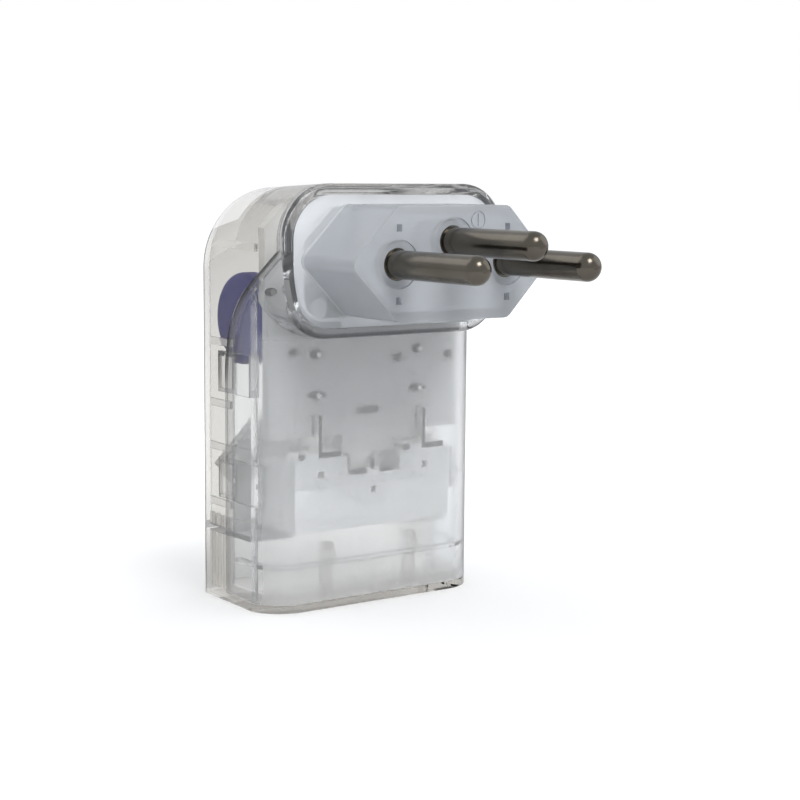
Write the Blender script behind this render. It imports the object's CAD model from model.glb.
import math

import bpy
from mathutils import Matrix, Vector

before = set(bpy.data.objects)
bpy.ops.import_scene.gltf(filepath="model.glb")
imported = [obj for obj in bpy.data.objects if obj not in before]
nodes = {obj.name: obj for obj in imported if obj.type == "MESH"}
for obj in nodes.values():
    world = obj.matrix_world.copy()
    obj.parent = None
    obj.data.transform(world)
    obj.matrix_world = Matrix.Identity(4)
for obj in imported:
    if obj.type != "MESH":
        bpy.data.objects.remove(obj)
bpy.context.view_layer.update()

MM = 0.001

# Places on the clear shell that its finish follows
back_wall = 27.6 * MM
rib_front = 19.3 * MM
rib_half_width = 17.63 * MM
shelf_height = 10.3 * MM
shelf_half_width = 17.61 * MM

# Places on the frosted shell: its seam, its frosted front and the ring around the plug
seam_back = 20.7 * MM
seam_slope = math.radians(32)
seam_slope_reach = 48.2 * MM
seam_bend = 12.0 * MM
seam_top = 53.5 * MM
lap_width = 1.475 * MM
seam_line_width = 0.21 * MM
seam_line_foot = 33.0 * MM
frost_back = 12.5 * MM
frost_top = 41.25 * MM
ring_back = 4.5 * MM
ring_foot = 40.4 * MM

# Places on the inner pieces
plate_front = 3.0 * MM
plate_tint_front = 2.65 * MM
varistor_disc_front = 13.4 * MM
pale_board_foot = 49.5 * MM
lug_back = 10.15 * MM
blade_foot = 27.5 * MM

# Directions of a surface, as its share along one axis
side_facing = 0.75
front_facing = -0.7
underside_facing = -0.4

# Noise scales, in waves a metre
flow_scale = 55
cloud_scale = 90
polish_scale = 120
stain_scale = 140
milk_scale = 160
gloss_scale = 180
brushed_scale = 900
grain_scale = 1800
frost_scale = 2600


# Camera, at the photograph's viewing angle
def add_camera():
    yaw, pitch, roll = (math.radians(angle) for angle in (35.45, 7.39, 0.44))
    forward = Vector((math.sin(yaw) * math.cos(pitch), math.cos(yaw) * math.cos(pitch),
                      -math.sin(pitch)))
    side = Vector((math.cos(yaw), -math.sin(yaw), 0.0))
    top = side.cross(forward)
    right = side * math.cos(roll) + top * math.sin(roll)
    up = top * math.cos(roll) - side * math.sin(roll)
    data = bpy.data.cameras.new("camera")
    data.sensor_fit = "HORIZONTAL"
    data.sensor_width = 36.0
    data.lens = 78.47
    data.clip_start = 0.01
    data.clip_end = 10.0
    camera = bpy.data.objects.new("camera", data)
    bpy.context.scene.collection.objects.link(camera)
    place = Vector((-148.41, -205.76, 64.66)) * MM
    turn = Matrix((right, up, -forward)).transposed().to_4x4()
    camera.matrix_world = Matrix.Translation(place) @ turn
    bpy.context.scene.camera = camera


add_camera()


def rgba(colour):
    return (*colour, 1.0)


class Nodes:
    """Node building in short calls, for a material or the world."""

    def __init__(self, owner, out):
        owner.use_nodes = True
        self.tree = owner.node_tree
        self.tree.nodes.clear()
        self.out = self.node(out)

    def node(self, kind, **props):
        made = self.tree.nodes.new(kind)
        for key, item in props.items():
            setattr(made, key, item)
        return made

    def link(self, source, socket):
        self.tree.links.new(source, socket)

    def feed(self, socket, item):
        """Links an output to a socket, or sets a plain value on it."""
        if isinstance(item, bpy.types.NodeSocket):
            self.link(item, socket)
        else:
            socket.default_value = item

    def plain(self, kind, colour, strength=None):
        """A shader of one colour."""
        made = self.node(kind)
        made.inputs["Color"].default_value = rgba(colour)
        if strength is not None:
            self.feed(made.inputs["Strength"], strength)
        return made.outputs[0]

    def mix(self, factor, first, second):
        """The first shader at 0 and the second at 1."""
        made = self.node("ShaderNodeMixShader")
        for socket, item in zip(made.inputs, (factor, first, second)):
            self.link(item, socket)
        return made.outputs[0]

    def maths(self, operation, *values):
        made = self.node("ShaderNodeMath", operation=operation)
        for socket, item in zip(made.inputs, values):
            self.feed(socket, item)
        return made.outputs[0]

    def ray(self, kind):
        return self.node("ShaderNodeLightPath").outputs[kind]

    def seen(self):
        """1 for what the camera sees, directly or through clear plastic."""
        return self.maths("MAXIMUM", self.ray("Is Camera Ray"), self.ray("Is Transmission Ray"))


class Shader(Nodes):
    """A material, laid out in the part's own coordinates."""

    def __init__(self, name):
        self.material = bpy.data.materials.new(name)
        super().__init__(self.material, "ShaderNodeOutputMaterial")
        self.place = self.node("ShaderNodeTexCoord").outputs["Object"]

    def share(self, vector, axis):
        apart = self.node("ShaderNodeSeparateXYZ")
        self.link(vector, apart.inputs[0])
        return apart.outputs[axis]

    def along(self, axis):
        """The place on the part along X, Y or Z."""
        return self.share(self.place, axis)

    def facing(self, axis):
        """The surface's direction along X, Y or Z, from -1 to 1."""
        return self.share(self.node("ShaderNodeNewGeometry").outputs["Normal"], axis)

    def noise(self, scale, detail=3.0, rough=0.5, stretch=(1, 1, 1)):
        scaled = self.node("ShaderNodeMapping")
        scaled.inputs["Scale"].default_value = stretch
        self.link(self.place, scaled.inputs["Vector"])
        texture = self.node("ShaderNodeTexNoise")
        texture.inputs["Scale"].default_value = scale
        texture.inputs["Detail"].default_value = detail
        texture.inputs["Roughness"].default_value = rough
        self.link(scaled.outputs["Vector"], texture.inputs["Vector"])
        return texture.outputs["Fac"]

    def map_range(self, source, start, stop, low=0.0, high=1.0, kind="LINEAR"):
        """Low at start and high at stop."""
        made = self.node("ShaderNodeMapRange", interpolation_type=kind)
        for key, number in (("From Min", start), ("From Max", stop), ("To Min", low), ("To Max", high)):
            made.inputs[key].default_value = number
        self.link(source, made.inputs["Value"])
        return made.outputs["Result"]

    def span(self, noise, low, high):
        """The middle of a noise, spread from low to high."""
        return self.map_range(noise, 0.3, 0.7, low, high)

    def above(self, source, limit, soft):
        """1 above the limit and 0 below it, smooth over the width soft."""
        return self.map_range(source, limit - soft / 2, limit + soft / 2, kind="SMOOTHSTEP")

    def below(self, source, limit, soft):
        """1 below the limit and 0 above it, smooth over the width soft."""
        return self.map_range(source, limit + soft / 2, limit - soft / 2, kind="SMOOTHSTEP")

    def all_of(self, first, *others):
        """The places that every mask covers."""
        for other in others:
            first = self.maths("MULTIPLY", first, other)
        return first

    def ramp(self, source, low, high, start=0.35, stop=0.65):
        """A colour that goes from low to high."""
        made = self.node("ShaderNodeValToRGB")
        ends = made.color_ramp.elements
        ends[0].position, ends[1].position = start, stop
        ends[0].color, ends[1].color = rgba(low), rgba(high)
        self.link(source, made.inputs["Fac"])
        return made.outputs["Color"]

    def rim(self, face, edge):
        """A colour that shifts towards the outline, as light does in thick plastic."""
        weight = self.node("ShaderNodeLayerWeight")
        return self.ramp(weight.outputs["Facing"], face, edge, start=0.45, stop=0.97)

    def blend(self, mask, low, high):
        """One colour, and another where the mask covers it."""
        made = self.node("ShaderNodeMix", data_type="RGBA")
        self.link(mask, made.inputs[0])
        for socket, item in ((made.inputs[6], low), (made.inputs[7], high)):
            self.feed(socket, rgba(item) if isinstance(item, tuple) else item)
        return made.outputs[2]

    def bump(self, source, depth):
        made = self.node("ShaderNodeBump")
        made.inputs["Distance"].default_value = depth
        self.link(source, made.inputs["Height"])
        return made.outputs["Normal"]

    def absorb(self, colour, density):
        made = self.node("ShaderNodeVolumeAbsorption")
        made.inputs["Color"].default_value = rgba(colour)
        made.inputs["Density"].default_value = density
        self.link(made.outputs[0], self.out.inputs["Volume"])

    def surface(self, lets_light=None, **values):
        """The finish; lets_light is the share of lamp light that a clear form passes."""
        made = self.node("ShaderNodeBsdfPrincipled")
        for key, item in values.items():
            self.feed(made.inputs[key.replace("_", " ")], item)
        finish = made.outputs["BSDF"]
        if lets_light:
            passing = self.plain("ShaderNodeBsdfTransparent", (lets_light,) * 3)
            finish = self.mix(self.ray("Is Shadow Ray"), finish, passing)
        self.link(finish, self.out.inputs["Surface"])


# Materials
def clear_plastic():
    """Clear shell: its end-on back wall, inner ribs and shelf hold more colour and haze."""
    s = Shader("clear_plastic")
    across = s.maths("ABSOLUTE", s.along("X"))
    y = s.along("Y")
    on_side = s.maths("LESS_THAN", s.maths("ABSOLUTE", s.facing("Y")), side_facing)
    end_on = s.all_of(on_side, s.above(y, back_wall, soft=0.8 * MM))
    rib = s.all_of(s.below(across, rib_half_width, soft=0.06 * MM),
                   s.above(y, rib_front, soft=0.6 * MM), s.below(y, back_wall, soft=0.2 * MM))
    shelf = s.all_of(s.maths("COMPARE", s.along("Z"), shelf_height, 0.6 * MM),
                     s.below(across, shelf_half_width, soft=0.06 * MM))
    tint = s.rim((0.81, 0.80, 0.78), (0.20, 0.193, 0.18))
    tint = s.blend(end_on, tint, (0.26, 0.248, 0.225))
    tint = s.blend(rib, tint, (0.99, 0.98, 0.965))
    tint = s.blend(shelf, tint, (0.60, 0.605, 0.61))
    haze = s.maths("MAXIMUM", s.maths("MULTIPLY", rib, 0.60), s.maths("MULTIPLY", shelf, 0.40))
    flow = s.noise(flow_scale, detail=2)
    s.surface(lets_light=1.0, Base_Color=tint, IOR=1.25, Roughness=s.span(flow, 0.02, 0.05),
              Transmission_Weight=s.maths("SUBTRACT", 1.0, haze), Normal=s.bump(flow, 0.03 * MM))
    s.absorb((0.20, 0.185, 0.15), density=26.0)
    return s.material


def frosted_plastic():
    """Front shell: frosted on the lower front, polished on the plateau and the sides."""
    s = Shader("frosted_plastic")
    y, z = s.along("Y"), s.along("Z")
    frost = s.all_of(s.below(y, frost_back, soft=5.0 * MM), s.below(z, frost_top, soft=2.5 * MM))
    ring = s.all_of(s.below(y, ring_back, soft=1.0 * MM), s.above(z, ring_foot, soft=0.8 * MM))

    # distance in front of the seam: its slope and its upright run, met by an arc
    slope = s.maths("MULTIPLY_ADD", y, -math.sin(seam_slope), seam_slope_reach)
    slope = s.maths("MULTIPLY_ADD", z, -math.cos(seam_slope), slope)
    upright = s.maths("SUBTRACT", seam_back, y)
    seam = s.maths("SMOOTH_MIN", slope, upright, seam_bend)
    under_top = s.below(z, seam_top, soft=1.0 * MM)
    lap = s.all_of(under_top, s.below(seam, lap_width, soft=0.15 * MM))
    line = s.all_of(under_top, s.below(seam, seam_line_width, soft=0.14 * MM),
                    s.above(z, seam_line_foot, soft=6.0 * MM))

    # the ring is darker on its underside
    underside = s.below(s.facing("Z"), underside_facing, soft=0.4)
    ring_tint = s.blend(underside, (0.83, 0.84, 0.86), (0.18, 0.186, 0.195))
    tint = s.rim((0.86, 0.87, 0.88), (0.38, 0.39, 0.405))
    tint = s.blend(ring, tint, ring_tint)
    tint = s.blend(lap, tint, (0.70, 0.705, 0.715))
    tint = s.blend(line, tint, (0.06, 0.06, 0.065))

    polished = s.span(s.noise(polish_scale), 0.03, 0.06)
    s.surface(lets_light=1.0, Base_Color=tint, IOR=1.25, Coat_Weight=0.15,
              Roughness=s.maths("MULTIPLY_ADD", frost, 0.265, polished),
              Transmission_Weight=s.maths("MULTIPLY_ADD", frost, -0.12, 0.95),
              Normal=s.bump(s.noise(frost_scale, detail=2), 0.008 * MM))
    s.absorb((0.14, 0.16, 0.17), density=16.0)
    return s.material


def plug_plastic():
    """Plug body: a milky nose on a clearer plate."""
    s = Shader("plug_plastic")
    y = s.along("Y")
    plate = s.above(y, plate_front, soft=0.4 * MM)
    nose_tint = s.rim((0.64, 0.665, 0.70), (0.44, 0.46, 0.49))
    tint = s.blend(s.above(y, plate_tint_front, soft=0.9 * MM), nose_tint, (0.90, 0.92, 0.95))
    nose_rough = s.span(s.noise(milk_scale), 0.19, 0.25)
    s.surface(lets_light=0.70, Base_Color=tint, IOR=1.3,
              Roughness=s.maths("MULTIPLY_ADD", plate, -0.02, nose_rough),
              Transmission_Weight=s.maths("MULTIPLY_ADD", plate, 0.08, 0.50),
              Normal=s.bump(s.noise(frost_scale, detail=2), 0.008 * MM))
    s.absorb((0.12, 0.14, 0.18), density=20.0)
    return s.material


def moulded(name, low, high, rough, clear=0.0, lets_light=None):
    """Moulded plastic or resin, with a slow change of colour and gloss."""
    s = Shader(name)
    s.surface(lets_light=lets_light, Base_Color=s.ramp(s.noise(cloud_scale), low, high), IOR=1.48,
              Transmission_Weight=clear,
              Roughness=s.span(s.noise(gloss_scale), rough * 0.85, rough * 1.15),
              Normal=s.bump(s.noise(grain_scale), 0.015 * MM))
    return s.material


def varistor_coating():
    """Epoxy on the disc; the two leads in front of it are tinned wire."""
    s = Shader("varistor_coating")
    disc = s.maths("GREATER_THAN", s.along("Y"), varistor_disc_front)
    epoxy = s.ramp(s.noise(cloud_scale), (0.034, 0.031, 0.215), (0.045, 0.041, 0.250))
    s.surface(Base_Color=s.blend(disc, (0.34, 0.33, 0.31), epoxy), IOR=1.48,
              Metallic=s.maths("SUBTRACT", 1.0, disc), Specular_IOR_Level=0.12,
              Roughness=s.span(s.noise(gloss_scale), 0.40, 0.50),
              Normal=s.bump(s.noise(brushed_scale), 0.003 * MM))
    return s.material


def board_laminate():
    """White laminate, greyer below, around the soldered joints."""
    s = Shader("board_laminate")
    pale = s.above(s.along("Z"), pale_board_foot, soft=9.0 * MM)
    grey = s.ramp(s.noise(cloud_scale), (0.53, 0.53, 0.53), (0.57, 0.57, 0.57))
    s.surface(Base_Color=s.blend(pale, grey, (0.88, 0.885, 0.89)), IOR=1.48,
              Roughness=s.span(s.noise(gloss_scale), 0.38, 0.52),
              Normal=s.bump(s.noise(grain_scale), 0.015 * MM))
    return s.material


def metal(name, low, high, rough, stretch=(1, 1, 1), front=None):
    """Metal; front is a darker colour for the cut edges that face the pins' side."""
    s = Shader(name)
    lines = s.noise(brushed_scale, rough=0.6, stretch=stretch)
    colour = s.ramp(s.noise(stain_scale), low, high)
    if front:
        lug = s.maths("MAXIMUM", s.maths("LESS_THAN", s.along("Y"), lug_back),
                      s.maths("GREATER_THAN", s.along("Z"), blade_foot))
        edge = s.all_of(lug, s.maths("LESS_THAN", s.facing("Y"), front_facing))
        colour = s.blend(edge, colour, front)
    s.surface(Base_Color=colour, Metallic=1.0, Roughness=s.span(lines, rough * 0.8, rough * 1.25),
              Normal=s.bump(lines, 0.01 * MM))
    return s.material


# Each material with the nodes that it covers
finishes = [
    (clear_plastic(), ["back_shell"]),
    (frosted_plastic(), ["front_shell"]),
    (plug_plastic(), ["plug_body"]),
    (metal("pin_nickel", (0.112, 0.099, 0.082), (0.150, 0.136, 0.114), 0.21, stretch=(1, 0.05, 1)),
     ["live_pin", "neutral_pin", "earth_pin"]),
    (metal("contact_tin", (0.86, 0.85, 0.83), (0.91, 0.90, 0.88), 0.36, stretch=(1, 0.1, 1),
           front=(0.09, 0.085, 0.075)),
     ["live_contact", "neutral_contact", "earth_contact"]),
    (board_laminate(), ["circuit_board"]),
    (varistor_coating(), ["varistor_live_neutral", "varistor_live_earth", "varistor_neutral_earth"]),
    (metal("fuse_tin", (0.60, 0.59, 0.57), (0.70, 0.69, 0.67), 0.21),
     ["thermal_fuse_live", "thermal_fuse_neutral"]),
    (moulded("lamp_resin", (0.20, 0.55, 0.24), (0.26, 0.62, 0.30), 0.15, clear=0.6),
     ["status_led"]),
    (moulded("chip_resin", (0.02, 0.02, 0.022), (0.035, 0.035, 0.04), 0.5),
     ["led_resistor", "led_diode"]),
    (metal("solder_tin", (0.030, 0.028, 0.025), (0.050, 0.047, 0.042), 0.66), ["solder_joints"]),
    (moulded("socket_plastic", (0.95, 0.955, 0.955), (0.98, 0.985, 0.985), 0.40, clear=0.48,
             lets_light=0.5),
     ["socket_body", "contact_retainer", "pin_retainer"]),
]
for finish, names in finishes:
    for name in names:
        for slot in nodes[name].material_slots:
            slot.material = finish


# Floor, background and light
def add_floor():
    """Pale floor that brightens away from the object and keeps its shadow."""
    reach = 3.0
    mesh = bpy.data.meshes.new("floor")
    mesh.from_pydata([(-reach, -reach, 0), (reach, -reach, 0), (reach, reach, 0),
                      (-reach, reach, 0)], [], [(0, 1, 2, 3)])
    floor = bpy.data.objects.new("floor", mesh)
    bpy.context.scene.collection.objects.link(floor)
    floor.location.z = -0.1 * MM
    s = Shader("floor_white")
    distance = s.node("ShaderNodeVectorMath", operation="LENGTH")
    s.link(s.place, distance.inputs[0])
    strength = s.map_range(distance.outputs["Value"], start=35 * MM, stop=100 * MM,
                           low=0.19, high=0.47)
    lit = s.plain("ShaderNodeBsdfDiffuse", (0.80, 0.80, 0.80))
    glowing = s.node("ShaderNodeAddShader")
    s.link(lit, glowing.inputs[0])
    s.link(s.plain("ShaderNodeEmission", (1, 1, 1), strength), glowing.inputs[1])
    s.link(s.mix(s.seen(), lit, glowing.outputs[0]), s.out.inputs["Surface"])
    mesh.materials.append(s.material)


def add_world():
    """Soft light all round, and a white background."""
    world = bpy.data.worlds.new("studio")
    bpy.context.scene.world = world
    w = Nodes(world, "ShaderNodeOutputWorld")
    soft = w.plain("ShaderNodeBackground", (0.96, 0.98, 1.0), 0.72)
    white = w.plain("ShaderNodeBackground", (1, 1, 1), 1.0)
    w.link(w.mix(w.seen(), soft, white), w.out.inputs["Surface"])


def add_lamp(name, place, size, power):
    data = bpy.data.lights.new(name, "AREA")
    data.size = size
    data.energy = power
    lamp = bpy.data.objects.new(name, data)
    bpy.context.scene.collection.objects.link(lamp)
    lamp.location = place
    middle = Vector((0, 0, 30 * MM))
    aim = middle - Vector(place)
    lamp.rotation_euler = aim.to_track_quat("-Z", "Y").to_euler()


add_floor()
add_world()
add_lamp("key", place=(0.02, -0.55, 0.60), size=0.32, power=2.8)
add_lamp("fill", place=(0.60, -0.25, 0.35), size=0.60, power=0.8)
add_lamp("back", place=(-0.25, 0.50, 0.55), size=0.50, power=0.6)
bpy.context.scene.view_settings.view_transform = "Standard"
